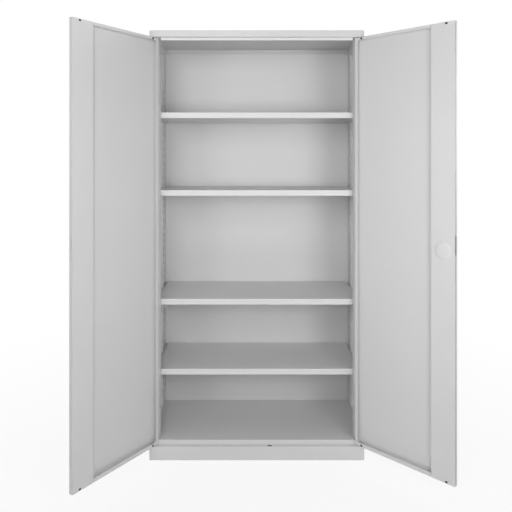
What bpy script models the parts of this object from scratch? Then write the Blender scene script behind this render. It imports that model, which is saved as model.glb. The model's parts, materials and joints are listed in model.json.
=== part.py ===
"""Two-door sheet-steel cupboard: four adjustable shelves, plinth, and a three-point turn lock.

Metres, +Z up, front towards -Y. The origin lies on the plinth's front foot flange, at its middle.
Both doors stand open, turned about their pivot pins from the closed place they are modelled in.
"""
import math

import bmesh
import bpy
from mathutils import Vector

# Whole cupboard
WIDTH = 0.900
DEPTH = 0.450
HEIGHT = 1.800
SHEET = 0.0008
BEND = 0.0016
HEM_BEND = 0.0008
SEAT = 0.0003
RUNNING_GAP = 0.0001
OVERRUN = 0.004
BEND_STEPS = 2
ROUND_SIDES = 32
SMALL_SIDES = 16

# Plinth
PLINTH_HEIGHT = 0.057
PLINTH_FLANGE = 0.040

# Top
RAIL_HEIGHT = 0.027
TOP_FLANGE = 0.022
LEDGE_DEPTH = 0.020
STOP_LIP = 0.011

# Side panels
HEM_WIDTH = 0.0020
HEM_SETBACK = 0.0005
POST_SETBACK = 0.031
POST_WIDTH = 0.0345
POST_RETURN = 0.029
POST_LEAN = 0.0045
REAR_RETURN = 0.018
POST_CLEARANCE = 0.006

# Floor and back
FLOOR_RISE = 0.019
NOTCH_CLEARANCE = 0.001
BACK_RECESS = 0.022

# Slotted strips and shelf clips
STRIP_STANDOFF = 0.0115
STRIP_WIDTH = 0.024
STRIP_FRONT_SETBACK = 0.105
STRIP_REAR_SETBACK = 0.300
STRIP_END_GAP = 0.030
SLOT_PITCH = 0.0334
SLOT_COUNT = 43
SLOT_FIRST = 0.1722
SLOT_HEIGHT = 0.014
SLOT_WIDTH = 0.013
CLIP_THICKNESS = 0.0020
CLIP_WIDTH = 0.016
CLIP_TAB = 0.025
CLIP_RISE = 0.020
HOOK_WIDTH = 0.0100
HOOK_HEIGHT = 0.0050
HOOK_DROP = 0.0045
HOOK_REACH = 0.0030

# Shelves
SHELF_FRONT_SETBACK = 0.065
SHELF_BACK_GAP = 0.004
SHELF_EDGE = 0.025
SHELF_HEM = 0.012
HEM_RELIEF = 0.004
SHELF_SLOTS = (38, 28, 14, 5)

# Doors
DOOR_THICKNESS = 0.017
DOOR_SIDE_INSET = 0.0005
DOOR_MEETING_GAP = 0.003
DOOR_GAP = 0.002
DOOR_LIP = 0.015
DOOR_TOP_LIP = 0.0125
DOOR_BOTTOM_LIP = 0.0165
STILE_WIDTH = 0.098
STILE_FOOT = 0.012
PIN_INSET = 0.0185
LEFT_OPEN_DEGREES = 123.2
RIGHT_OPEN_DEGREES = 134.4

# Pivot pins and bushes
PIN_RADIUS = 0.0030
PIN_HEAD_RADIUS = 0.0050
PIN_HEAD_HEIGHT = 0.0015
PIN_REACH = 0.011
BUSH_RADIUS = 0.0060
BUSH_COLLAR_RADIUS = 0.0080
BUSH_DEPTH = 0.0100
BLOCK_WIDTH = 0.0095
BUSH_NOSE_INSET = 0.033
NOTCH_START = 0.0020

# Rod guides and plugs near the free edge
NOSE_INSET = 0.0345
ROD_INSET = 0.0525
GUIDE_WIDTH = 0.018
GUIDE_DEPTH = 0.0090
GUIDE_COLLAR = 0.0010
GUIDE_NECK_WIDTH = 0.0155
GUIDE_NECK_FRONT = 0.0028
GUIDE_NECK_REAR = 0.0115

# Turn lock
LOCK_INSET = 0.0475
LOCK_HEIGHT = 0.9205
LOCK_DOOR_JOINT = 0.0025
SPINDLE_RADIUS = 0.0050
SPINDLE_END = 0.0146
ROSETTE_RADIUS = 0.0270
ROSETTE_THICKNESS = 0.0040
KNOB_RADIUS = 0.0210
KNOB_THICKNESS = 0.0055
BARREL_RADIUS = 0.0120
BARREL_LENGTH = 0.0190
GRIP_LENGTH = 0.066
GRIP_WIDTH = 0.0130
GRIP_ROUNDING = 0.0030
GRIP_SETBACK = 0.0020
PLUG_RADIUS = 0.0070
PLUG_LENGTH = 0.0170
KEY_SLOT_WIDTH = 0.0014
KEY_SLOT_LENGTH = 0.0080
KEY_SLOT_DEPTH = 0.0070
CAM_RADIUS = 0.0170
CAM_START = 0.0014
CAM_THICKNESS = 0.0020
CAM_PIN_CIRCLE = 0.0120
CAM_PIN_RADIUS = 0.0024
ROD_THICKNESS = 0.0020
ROD_LAYER_GAP = 0.0007
ROD_WIDTH = 0.0120
YOKE_GAP = 0.0008
YOKE_WALL = 0.0035
YOKE_SPINDLE_GAP = 0.0011
ROD_CROSS_HEIGHT = 0.024
ROD_CROSS_WIDTH = 0.010
ROD_END_INSET = 0.0010
ROD_HOLE_GAP = 0.0010
TONGUE_LENGTH = 0.072
TONGUE_WIDTH = 0.018
TONGUE_THICKNESS = 0.0020
TONGUE_SLOT_GAP = 0.0020
TONGUE_SLOT_SIDE_GAP = 0.0030
NUT_RADIUS = 0.0075
NUT_THICKNESS = 0.0022
NUT_SIDES = 6
CAP_RADIUS = 0.0325
CAP_RISE = 0.0030
CAP_RIM = 0.0012
CAP_SKIRT_RADIUS = 0.0250
CAP_SKIRT_WALL = 0.0012
CAP_SKIRT_DEPTH = 0.0016
CAP_HOLE_GAP = 0.0005
CAP_RISE_SHARES = ((1.0, 0.0), (1.0, 0.30), (0.97, 0.42), (0.85, 0.66), (0.62, 0.86), (0.33, 0.97))

# Places worked out from the sizes above
HALF = WIDTH / 2
FRONT = -PLINTH_FLANGE / 2
REAR = FRONT + DEPTH
RAIL_LOW = HEIGHT - RAIL_HEIGHT
LEDGE_END = FRONT + LEDGE_DEPTH
POST_INNER = HALF - POST_WIDTH
POST_FACE = FRONT + POST_SETBACK
POST_END = POST_FACE + POST_RETURN
POST_TIP = POST_INNER - POST_LEAN
STOP_HALF = POST_TIP - POST_CLEARANCE
INSIDE_HALF = HALF - SHEET - SEAT
BACK_FACE = REAR - BACK_RECESS
FLOOR_TOP = PLINTH_HEIGHT + FLOOR_RISE
CARCASS_LOW = PLINTH_HEIGHT + SEAT
CARCASS_HIGH = HEIGHT - TOP_FLANGE - SEAT
STRIP_FACE = HALF - STRIP_STANDOFF
SHELF_HALF = STRIP_FACE - SEAT - CLIP_THICKNESS - SEAT
SHELF_FRONT = FRONT + SHELF_FRONT_SETBACK
SHELF_REAR = BACK_FACE - SHELF_BACK_GAP
HINGE_EDGE = HALF - DOOR_SIDE_INSET
FREE_EDGE = DOOR_MEETING_GAP / 2
DOOR_LOW = PLINTH_HEIGHT + DOOR_GAP
DOOR_HIGH = RAIL_LOW - DOOR_GAP
DOOR_INNER = FRONT + DOOR_THICKNESS
STILE_EDGE = FREE_EDGE + STILE_WIDTH
PIN_X = HALF - PIN_INSET
PIN_Y = FRONT + DOOR_THICKNESS / 2
NOSE_X = FREE_EDGE + NOSE_INSET
ROD_X = FREE_EDGE + ROD_INSET
LOCK_X = FREE_EDGE + LOCK_INSET
CAM_PIN_OFFSET = CAM_PIN_CIRCLE * math.sqrt(0.5)
UPPER_ROD_Y = FRONT + CAM_START + CAM_THICKNESS + ROD_LAYER_GAP
LOWER_ROD_Y = UPPER_ROD_Y + ROD_THICKNESS + ROD_LAYER_GAP
TONGUE_Y = LOWER_ROD_Y + ROD_THICKNESS + ROD_LAYER_GAP

# Finishes: sRGB colour, metallic, roughness
FINISHES = {
    "grey_powder_coat": ((0.80, 0.80, 0.79), 0.0, 0.45),
    "black_nylon": ((0.06, 0.06, 0.06), 0.0, 0.5),
    "zinc_plate": ((0.72, 0.72, 0.70), 1.0, 0.35),
    "white_cap_plastic": ((0.86, 0.86, 0.85), 0.0, 0.4),
    "chrome": ((0.80, 0.80, 0.80), 1.0, 0.15),
}


def clear_scene():
    """Start from an empty file."""
    for thing in list(bpy.data.objects):
        bpy.data.objects.remove(thing, do_unlink=True)


def finish(name):
    """Return the named finish, made once."""
    known = bpy.data.materials.get(name)
    if known:
        return known
    colour, metallic, roughness = FINISHES[name]
    material = bpy.data.materials.new(name)
    material.use_nodes = True
    shader = material.node_tree.nodes["Principled BSDF"]
    linear = [((c + 0.055) / 1.055) ** 2.4 for c in colour]
    shader.inputs["Base Color"].default_value = (*linear, 1.0)
    shader.inputs["Metallic"].default_value = metallic
    shader.inputs["Roughness"].default_value = roughness
    return material


def put_on(piece, parent):
    """Hang a piece on its axis empty without moving it."""
    if parent:
        piece.parent = parent
        piece.matrix_parent_inverse = parent.matrix_world.inverted()
    return piece


def new_piece(name, mesh, coat, parent=None):
    """Make a named object from a mesh, with its finish."""
    mesh.materials.append(finish(coat))
    piece = bpy.data.objects.new(name, mesh)
    bpy.context.collection.objects.link(piece)
    return put_on(piece, parent)


def axis_empty(name, place, parent=None):
    """Make an empty that stands on a joint's axis."""
    empty = bpy.data.objects.new(name, None)
    empty.location = place
    bpy.context.collection.objects.link(empty)
    bpy.context.view_layer.update()
    put_on(empty, parent)
    bpy.context.view_layer.update()
    return empty


class SheetPlan:
    """The outer skin of one folded sheet, face by face, with shared corners merged."""

    def __init__(self):
        self.places = {}
        self.faces = []

    def corner(self, point):
        """Return the number of a corner, shared by the faces that meet there."""
        key = tuple(round(value, 7) for value in point)
        return self.places.setdefault(key, len(self.places))

    def add(self, points, outward):
        """Add one flat face whose skin looks outward."""
        corners = [Vector(point) for point in points]
        normal = Vector()
        for here, after in zip(corners, corners[1:] + corners[:1]):
            normal += here.cross(after)
        if normal.dot(Vector(outward)) < 0:
            corners.reverse()
        self.faces.append([self.corner(point) for point in corners])

    def rectangle(self, low, high, outward):
        """Add an upright or level rectangle between two opposite corners."""
        flat = [axis for axis in range(3) if low[axis] == high[axis]][0]
        first, second = [axis for axis in range(3) if axis != flat]
        points = []
        for end_first, end_second in ((low, low), (high, low), (high, high), (low, high)):
            point = list(low)
            point[first] = end_first[first]
            point[second] = end_second[second]
            points.append(point)
        self.add(points, outward)

    def build(self, name, parent=None, bend=BEND):
        """Round the folds and give the skin its sheet thickness, inwards."""
        mesh = bpy.data.meshes.new(name)
        mesh.from_pydata(list(self.places), [], self.faces)
        mesh.update()
        piece = new_piece(name, mesh, "grey_powder_coat", parent)
        fold = piece.modifiers.new("folds", "BEVEL")
        fold.width = bend
        fold.segments = BEND_STEPS
        fold.limit_method = "ANGLE"
        fold.angle_limit = math.radians(30)
        wall = piece.modifiers.new("sheet", "SOLIDIFY")
        wall.thickness = SHEET
        wall.offset = -1
        wall.use_even_offset = True
        return piece


def box_skin(plan, low, high, openings):
    """Add a box's faces to a plan, without the ones named as openings, such as "+z"."""
    for axis, letter in enumerate("xyz"):
        for sign, end in (("-", low), ("+", high)):
            if sign + letter in openings:
                continue
            start, stop = list(low), list(high)
            start[axis] = stop[axis] = end[axis]
            outward = [0, 0, 0]
            outward[axis] = 1 if sign == "+" else -1
            plan.rectangle(start, stop, outward)


def tray(name, outline, low, high, hems=(), parent=None):
    """Folded tray, open below: a level top with an edge folded down along its outline.

    The outline runs anticlockwise seen from above. hems gives (side number, depth) of the edges
    that fold inwards again at the bottom, cut clear of their neighbours at both corners.
    """
    depths = dict(hems)
    plan = SheetPlan()
    plan.add([(x, y, high) for x, y in outline], (0, 0, 1))
    for number, (x, y) in enumerate(outline):
        after_x, after_y = outline[(number + 1) % len(outline)]
        outward = Vector((after_y - y, x - after_x, 0)).normalized()
        here, after = Vector((x, y, low)), Vector((after_x, after_y, low))
        foot = [here, after]
        if number in depths:
            relief = (after - here).normalized() * HEM_RELIEF
            foot = [here, here + relief, after - relief, after]
            inner = [point - outward * depths[number] for point in foot[1:3]]
            plan.add([foot[1], foot[2], inner[1], inner[0]], (0, 0, -1))
        plan.add(foot + [(after_x, after_y, high), (x, y, high)], outward)
    return plan.build(name, parent)


def box_mesh(name, boxes):
    """Mesh of separate boxes, each given by two opposite corners."""
    mesh = bpy.data.meshes.new(name)
    shape = bmesh.new()
    for low, high in boxes:
        ends = [sorted(pair) for pair in zip(low, high)]
        made = bmesh.ops.create_cube(shape, size=1.0)["verts"]
        for vertex in made:
            vertex.co = Vector([ends[axis][int(vertex.co[axis] > 0)] for axis in range(3)])
    shape.to_mesh(mesh)
    shape.free()
    return mesh


def prism_mesh(name, outline, start, stop, along="y"):
    """Mesh of a flat outline drawn from start to stop.

    The outline holds (x, z) points for a prism along y, and (x, y) points for one along z.
    """
    mesh = bpy.data.meshes.new(name)
    shape = bmesh.new()
    if along == "y":
        ring = [shape.verts.new((x, start, z)) for x, z in outline]
        step = Vector((0, stop - start, 0))
    else:
        ring = [shape.verts.new((x, y, start)) for x, y in outline]
        step = Vector((0, 0, stop - start))
    face = shape.faces.new(ring)
    grown = bmesh.ops.extrude_face_region(shape, geom=[face])["geom"]
    for item in grown:
        if isinstance(item, bmesh.types.BMVert):
            item.co += step
    bmesh.ops.recalc_face_normals(shape, faces=shape.faces)
    shape.to_mesh(mesh)
    shape.free()
    return mesh


def turned_mesh(name, profile, centre, along, sides=ROUND_SIDES):
    """Mesh turned about an axis through centre.

    The profile is a closed loop of (radius, distance along the axis). A radius of zero closes the
    end at the axis.
    """
    mesh = bpy.data.meshes.new(name)
    shape = bmesh.new()
    rings = []
    for radius, reach in profile:
        ring = []
        for step in range(sides if radius > 0 else 1):
            angle = math.tau * step / sides
            across, up = radius * math.cos(angle), radius * math.sin(angle)
            point = (across, reach, up) if along == "y" else (across, up, reach)
            ring.append(shape.verts.new(Vector(centre) + Vector(point)))
        rings.append(ring)
    for here, after in zip(rings, rings[1:] + rings[:1]):
        if len(here) == 1 and len(after) == 1:
            continue
        for step in range(sides):
            following = (step + 1) % sides
            corners = [here[step % len(here)], here[following % len(here)],
                       after[following % len(after)], after[step % len(after)]]
            shape.faces.new(list(dict.fromkeys(corners)))
    bmesh.ops.recalc_face_normals(shape, faces=shape.faces)
    shape.to_mesh(mesh)
    shape.free()
    mesh.shade_smooth()
    mesh.set_sharp_from_angle(angle=math.radians(35))
    return mesh


def tool(piece, mesh, operation="DIFFERENCE"):
    """Cut a mesh out of a piece, or join it on, with a guide that isn't part of the cupboard."""
    guide = bpy.data.objects.new(piece.name + "_guide", mesh)
    bpy.context.collection.objects.link(guide)
    guide.hide_render = True
    guide.display_type = "WIRE"
    put_on(guide, piece.parent)
    step = piece.modifiers.new("shape", "BOOLEAN")
    step.operation = operation
    step.solver = "EXACT"
    step.object = guide
    return guide


def disc(centre_x, centre_z, radius, sides=ROUND_SIDES):
    """Points of a circle in the x-z plane."""
    return [(centre_x + radius * math.cos(math.tau * step / sides),
             centre_z + radius * math.sin(math.tau * step / sides)) for step in range(sides)]


def upright_hole(piece, x, y, radius, middle):
    """Drill a level sheet from above."""
    start, stop = middle - OVERRUN, middle + OVERRUN
    profile = [(0, start), (radius, start), (radius, stop), (0, stop)]
    tool(piece, turned_mesh("drill", profile, (x, y, 0), "z", SMALL_SIDES))


def rod_hole(piece, rod_y, middle):
    """Punch the slot in a ledge that a rod's end shoots into."""
    reach_x = ROD_WIDTH / 2 + ROD_HOLE_GAP
    low = (ROD_X - reach_x, rod_y - ROD_HOLE_GAP, middle - OVERRUN)
    high = (ROD_X + reach_x, rod_y + ROD_THICKNESS + ROD_HOLE_GAP, middle + OVERRUN)
    tool(piece, box_mesh("punch", [(low, high)]))


def side_panel(name, side):
    """Outer wall with a hemmed front edge, a set-back front post whose return leans in, and a rear return."""
    line = [(HALF - REAR_RETURN, REAR), (HALF, REAR), (HALF, LEDGE_END + HEM_SETBACK),
            (HALF - HEM_WIDTH, LEDGE_END + HEM_SETBACK), (HALF - HEM_WIDTH, POST_FACE),
            (POST_INNER, POST_FACE), (POST_TIP, POST_END)]
    outwards = [(0, 1, 0), (side, 0, 0), (0, -1, 0), (-side, 0, 0), (0, -1, 0), (-side, 0, 0)]
    plan = SheetPlan()
    for (x, y), (after_x, after_y), outward in zip(line, line[1:], outwards):
        here, after = (side * x, y), (side * after_x, after_y)
        plan.add([(*here, CARCASS_LOW), (*after, CARCASS_LOW), (*after, CARCASS_HIGH), (*here, CARCASS_HIGH)],
                 outward)
    return plan.build(name, bend=HEM_BEND)


def top_panel():
    """Pan with the front rail, the ledge the doors hang under, and the lip they close against."""
    plan = SheetPlan()
    plan.rectangle((-HALF, FRONT, HEIGHT), (HALF, REAR, HEIGHT), (0, 0, 1))
    plan.rectangle((-HALF, FRONT, RAIL_LOW), (HALF, FRONT, HEIGHT), (0, -1, 0))
    ledge = [(-HALF, FRONT), (HALF, FRONT), (HALF, LEDGE_END), (STOP_HALF, LEDGE_END),
             (-STOP_HALF, LEDGE_END), (-HALF, LEDGE_END)]
    plan.add([(x, y, RAIL_LOW) for x, y in ledge], (0, 0, -1))
    plan.rectangle((-STOP_HALF, LEDGE_END, RAIL_LOW - STOP_LIP), (STOP_HALF, LEDGE_END, RAIL_LOW), (0, -1, 0))
    flange_low = HEIGHT - TOP_FLANGE
    flange = [(FRONT, RAIL_LOW), (LEDGE_END, RAIL_LOW), (LEDGE_END, flange_low), (REAR, flange_low),
              (REAR, HEIGHT), (FRONT, HEIGHT)]
    for side in (-1, 1):
        plan.add([(side * HALF, y, z) for y, z in flange], (side, 0, 0))
    plan.rectangle((-HALF, REAR, flange_low), (HALF, REAR, HEIGHT), (0, 1, 0))
    piece = plan.build("top_panel")
    for side in (-1, 1):
        upright_hole(piece, side * PIN_X, PIN_Y, PIN_RADIUS + RUNNING_GAP, RAIL_LOW)
    rod_hole(piece, UPPER_ROD_Y, RAIL_LOW)
    return piece


def plinth():
    """Four folded rails: front and back run the full width, the sides fit between them."""
    rails = {
        "plinth_front": ((-HALF, FRONT, 0), (HALF, FRONT + PLINTH_FLANGE, PLINTH_HEIGHT), ("+y",)),
        "plinth_back": ((-HALF, REAR - PLINTH_FLANGE, 0), (HALF, REAR, PLINTH_HEIGHT), ("-y",)),
    }
    side_front = FRONT + PLINTH_FLANGE + SEAT
    side_rear = REAR - PLINTH_FLANGE - SEAT
    rails["plinth_left"] = ((-HALF, side_front, 0), (PLINTH_FLANGE - HALF, side_rear, PLINTH_HEIGHT),
                            ("+x", "-y", "+y"))
    rails["plinth_right"] = ((HALF - PLINTH_FLANGE, side_front, 0), (HALF, side_rear, PLINTH_HEIGHT),
                             ("-x", "-y", "+y"))
    for name, (low, high, openings) in rails.items():
        plan = SheetPlan()
        box_skin(plan, low, high, openings)
        piece = plan.build(name)
        if name == "plinth_front":
            for side in (-1, 1):
                upright_hole(piece, side * PIN_X, PIN_Y, PIN_RADIUS + RUNNING_GAP, PLINTH_HEIGHT)
            rod_hole(piece, LOWER_ROD_Y, PLINTH_HEIGHT)


def floor_panel():
    """Floor tray, notched round the front posts, whose front edge is the lower door stop."""
    notch_y = POST_END + NOTCH_CLEARANCE
    outline = [(-STOP_HALF, LEDGE_END), (STOP_HALF, LEDGE_END), (STOP_HALF, notch_y),
               (INSIDE_HALF, notch_y), (INSIDE_HALF, BACK_FACE - SEAT), (-INSIDE_HALF, BACK_FACE - SEAT),
               (-INSIDE_HALF, notch_y), (-STOP_HALF, notch_y)]
    return tray("floor_panel", outline, CARCASS_LOW, FLOOR_TOP)


def back_panel():
    """Flat back, folded rearwards all round, set in from the rear edges."""
    plan = SheetPlan()
    low = (-INSIDE_HALF, BACK_FACE, CARCASS_LOW)
    high = (INSIDE_HALF, REAR - SHEET - SEAT, CARCASS_HIGH)
    box_skin(plan, low, high, ("+y",))
    return plan.build("back_panel")


def slotted_strip(name, side, setback):
    """Channel against the side wall with a column of slots for the shelf clips."""
    low_z = FLOOR_TOP + STRIP_END_GAP
    high_z = CARCASS_HIGH - STRIP_END_GAP
    middle = FRONT + setback
    near, far = sorted((side * STRIP_FACE, side * INSIDE_HALF))
    plan = SheetPlan()
    box_skin(plan, (near, middle - STRIP_WIDTH / 2, low_z), (far, middle + STRIP_WIDTH / 2, high_z),
             ("+x" if side > 0 else "-x", "-z", "+z"))
    piece = plan.build(name, bend=HEM_BEND)
    slots = []
    for number in range(SLOT_COUNT):
        slot_z = SLOT_FIRST + SLOT_PITCH * number
        if low_z + SLOT_HEIGHT < slot_z < high_z - SLOT_HEIGHT:
            slots.append(((side * (STRIP_FACE - OVERRUN), middle - SLOT_WIDTH / 2, slot_z - SLOT_HEIGHT / 2),
                          (side * (STRIP_FACE + OVERRUN), middle + SLOT_WIDTH / 2, slot_z + SLOT_HEIGHT / 2)))
    tool(piece, box_mesh("slots", slots))
    return piece


def clip_mesh():
    """Shelf clip for the right side: upright plate, tab under the shelf, hook through the slot.

    Its own origin is the middle of the slot on the strip's face.
    """
    plate = -SEAT - CLIP_THICKNESS
    tab_low = -SLOT_HEIGHT / 2
    outline = [(-SEAT, tab_low), (-SEAT, tab_low + CLIP_RISE), (plate, tab_low + CLIP_RISE),
               (plate, tab_low + CLIP_THICKNESS), (-CLIP_TAB, tab_low + CLIP_THICKNESS), (-CLIP_TAB, tab_low)]
    plates = prism_mesh("clip_body", outline, -CLIP_WIDTH / 2, CLIP_WIDTH / 2)
    body = new_piece("clip_body", plates, "zinc_plate")
    behind = SHEET + SEAT
    top = SLOT_HEIGHT / 2 - SEAT
    neck = top - HOOK_HEIGHT
    hook = [(plate / 2, top), (behind + HOOK_REACH, top), (behind + HOOK_REACH, neck - HOOK_DROP),
            (behind, neck - HOOK_DROP), (behind, neck), (plate / 2, neck)]
    guide = tool(body, prism_mesh("clip_hook", hook, -HOOK_WIDTH / 2, HOOK_WIDTH / 2), "UNION")
    bpy.context.view_layer.update()
    depsgraph = bpy.context.evaluated_depsgraph_get()
    mesh = bpy.data.meshes.new_from_object(body.evaluated_get(depsgraph))
    bpy.data.objects.remove(body)
    bpy.data.objects.remove(guide)
    mesh.name = "shelf_clip"
    return mesh


def shelves():
    """Four trays, each on four clips hooked in the strips."""
    mesh = clip_mesh()
    places = (("left_front", -1, STRIP_FRONT_SETBACK), ("left_rear", -1, STRIP_REAR_SETBACK),
              ("right_front", 1, STRIP_FRONT_SETBACK), ("right_rear", 1, STRIP_REAR_SETBACK))
    outline = [(-SHELF_HALF, SHELF_FRONT), (SHELF_HALF, SHELF_FRONT), (SHELF_HALF, SHELF_REAR),
               (-SHELF_HALF, SHELF_REAR)]
    hems = ((0, SHELF_HEM), (2, SHELF_HEM))
    for number, slot in enumerate(SHELF_SLOTS, start=1):
        slot_z = SLOT_FIRST + SLOT_PITCH * slot
        shelf_low = slot_z - SLOT_HEIGHT / 2 + CLIP_THICKNESS + SEAT
        tray("shelf_%d" % number, outline, shelf_low, shelf_low + SHELF_EDGE, hems)
        for where, side, setback in places:
            clip = bpy.data.objects.new("shelf_clip_%d_%s" % (number, where), mesh)
            clip.location = (side * STRIP_FACE, FRONT + setback, slot_z)
            clip.rotation_euler.z = 0 if side > 0 else math.pi
            bpy.context.collection.objects.link(clip)


def neck_place(side):
    """Where a block's neck passes the door's flanges: on the rods' line, or at the left door's plugs."""
    return side * (ROD_X if side > 0 else NOSE_X)


def door_shell(name, side, axis):
    """Outer sheet folded into a pan, with lips on the inner plane up to the stile, low one widest.

    In the lock door the free edge's flange stops short of the stile, which leaves a shadow joint.
    """
    inner_depth = DOOR_INNER - SHEET - SEAT
    hinge, free, stile = side * HINGE_EDGE, side * FREE_EDGE, side * STILE_EDGE
    lip_x = side * (HINGE_EDGE - DOOR_LIP)
    plan = SheetPlan()
    plan.rectangle((hinge, FRONT, DOOR_LOW), (free, FRONT, DOOR_HIGH), (0, -1, 0))
    plan.rectangle((hinge, FRONT, DOOR_LOW), (hinge, DOOR_INNER, DOOR_HIGH), (side, 0, 0))
    plan.rectangle((free, FRONT, DOOR_LOW), (free, inner_depth, DOOR_HIGH), (-side, 0, 0))
    flange = [(hinge, FRONT), (free, FRONT), (free, inner_depth), (stile, inner_depth), (stile, DOOR_INNER),
              (hinge, DOOR_INNER)]
    plan.add([(x, y, DOOR_HIGH) for x, y in flange], (0, 0, 1))
    plan.add([(x, y, DOOR_LOW) for x, y in flange], (0, 0, -1))
    low_lip, high_lip = DOOR_LOW + DOOR_BOTTOM_LIP, DOOR_HIGH - DOOR_TOP_LIP
    frame = [(stile, DOOR_LOW), (hinge, DOOR_LOW), (hinge, DOOR_HIGH), (stile, DOOR_HIGH), (stile, high_lip),
             (lip_x, high_lip), (lip_x, low_lip), (stile, low_lip)]
    plan.add([(x, DOOR_INNER, z) for x, z in frame], (0, 1, 0))
    piece = plan.build(name, axis)
    cuts = []
    nose_x = side * (HINGE_EDGE - BUSH_NOSE_INSET)
    guide_x = neck_place(side)
    for end, inward in ((DOOR_HIGH, -1), (DOOR_LOW, 1)):
        notch_from, notch_to = end + inward * NOTCH_START, end + inward * (BUSH_DEPTH + SEAT)
        reach = BLOCK_WIDTH / 2 + SEAT
        cuts.append(((nose_x - reach, DOOR_INNER - SHEET - OVERRUN / 2, notch_from),
                     (nose_x + reach, DOOR_INNER + OVERRUN / 2, notch_to)))
        neck = GUIDE_NECK_WIDTH / 2 + SEAT
        cuts.append(((guide_x - neck, FRONT + GUIDE_NECK_FRONT - SEAT, end - OVERRUN / 2),
                     (guide_x + neck, FRONT + GUIDE_NECK_REAR + SEAT, end + OVERRUN / 2)))
        upright_hole(piece, side * PIN_X, PIN_Y, BUSH_RADIUS + SEAT, end)
    tongue_low = LOCK_HEIGHT - TONGUE_WIDTH / 2 - TONGUE_SLOT_GAP
    swing = math.sqrt(TONGUE_LENGTH ** 2 - (LOCK_INSET - SHEET) ** 2)
    tongue_high = LOCK_HEIGHT + swing + TONGUE_SLOT_GAP
    slot_near, slot_far = TONGUE_Y - TONGUE_SLOT_SIDE_GAP, TONGUE_Y + TONGUE_THICKNESS + TONGUE_SLOT_SIDE_GAP
    cuts.append(((free - side * OVERRUN / 2, slot_near, tongue_low),
                 (free + side * OVERRUN / 2, slot_far, tongue_high)))
    tool(piece, box_mesh("door_cuts", cuts))
    if side > 0:
        joint = ((free - OVERRUN / 2, inner_depth - LOCK_DOOR_JOINT, DOOR_LOW + GUIDE_DEPTH),
                 (free + OVERRUN / 2, inner_depth + SEAT / 2, DOOR_HIGH - GUIDE_DEPTH))
        tool(piece, box_mesh("joint", [joint]))
    return piece


def door_stile(name, side, axis):
    """Boxed stile at the free edge: inner face, return to the outer sheet and welding foot."""
    edge = side * (STILE_EDGE - SEAT)
    free = side * FREE_EDGE
    foot_y = FRONT + SHEET + SEAT
    inside_low, inside_high = DOOR_LOW + SHEET + SEAT, DOOR_HIGH - SHEET - SEAT
    plan = SheetPlan()
    face = [(free, DOOR_LOW), (edge, DOOR_LOW), (edge, inside_low), (edge, inside_high), (edge, DOOR_HIGH),
            (free, DOOR_HIGH)]
    plan.add([(x, DOOR_INNER, z) for x, z in face], (0, 1, 0))
    plan.rectangle((edge, foot_y, inside_low), (edge, DOOR_INNER, inside_high), (side, 0, 0))
    plan.rectangle((edge - side * STILE_FOOT, foot_y, inside_low), (edge, foot_y, inside_high), (0, -1, 0))
    piece = plan.build(name, axis)
    cuts = []
    for end, inward in ((DOOR_HIGH, -1), (DOOR_LOW, 1)):
        reach = BLOCK_WIDTH / 2 + SEAT
        cuts.append(((side * NOSE_X - reach, DOOR_INNER - SHEET - OVERRUN / 2, end + inward * NOTCH_START),
                     (side * NOSE_X + reach, DOOR_INNER + OVERRUN / 2, end + inward * (GUIDE_DEPTH + SEAT))))
    tool(piece, box_mesh("stile_cuts", cuts))
    return piece


def pivot(name, side, end, inward, axis):
    """Pivot pin in a ledge, and the black bush in the door's corner that turns on it.

    An arm runs from the bush along the flange, to the nose that clips in the door's lip.
    """
    place = (side * PIN_X, PIN_Y, end)
    hand = "left" if side < 0 else "right"
    ledge_skin = -inward * DOOR_GAP
    head = ledge_skin - inward * (SHEET + SEAT)
    tip = inward * PIN_REACH
    profile = [(0, tip), (PIN_RADIUS, tip), (PIN_RADIUS, head), (PIN_HEAD_RADIUS, head),
               (PIN_HEAD_RADIUS, head - inward * PIN_HEAD_HEIGHT), (0, head - inward * PIN_HEAD_HEIGHT)]
    new_piece("hinge_pin_%s_%s" % (hand, name), turned_mesh("hinge_pin", profile, place, "z", SMALL_SIDES),
              "zinc_plate")
    bore = PIN_RADIUS + RUNNING_GAP
    collar_far = ledge_skin + inward * SEAT
    collar_near = -inward * SEAT
    sleeve = [(bore, collar_far), (BUSH_COLLAR_RADIUS, collar_far), (BUSH_COLLAR_RADIUS, collar_near),
              (BUSH_RADIUS, collar_near), (BUSH_RADIUS, inward * BUSH_DEPTH), (bore, inward * BUSH_DEPTH)]
    bush = new_piece("%s_bush_%s" % (hand, name), turned_mesh("bush", sleeve, place, "z", SMALL_SIDES),
                     "black_nylon", axis)
    nose_x = side * (HINGE_EDGE - BUSH_NOSE_INSET)
    arm_from = side * (PIN_X - (bore + BUSH_RADIUS) / 2)
    arm_to = nose_x - side * BLOCK_WIDTH / 2
    high_z, low_z = end + inward * (NOTCH_START + SEAT), end + inward * BUSH_DEPTH
    arm = ((arm_from, PIN_Y - BLOCK_WIDTH / 2, high_z), (arm_to, DOOR_INNER - SHEET - SEAT, low_z))
    tool(bush, box_mesh("bush_arm", [arm]), "UNION")
    nose = ((nose_x - BLOCK_WIDTH / 2, PIN_Y, high_z), (nose_x + BLOCK_WIDTH / 2, DOOR_INNER, low_z))
    tool(bush, box_mesh("bush_nose", [nose]), "UNION")
    return bush


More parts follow.
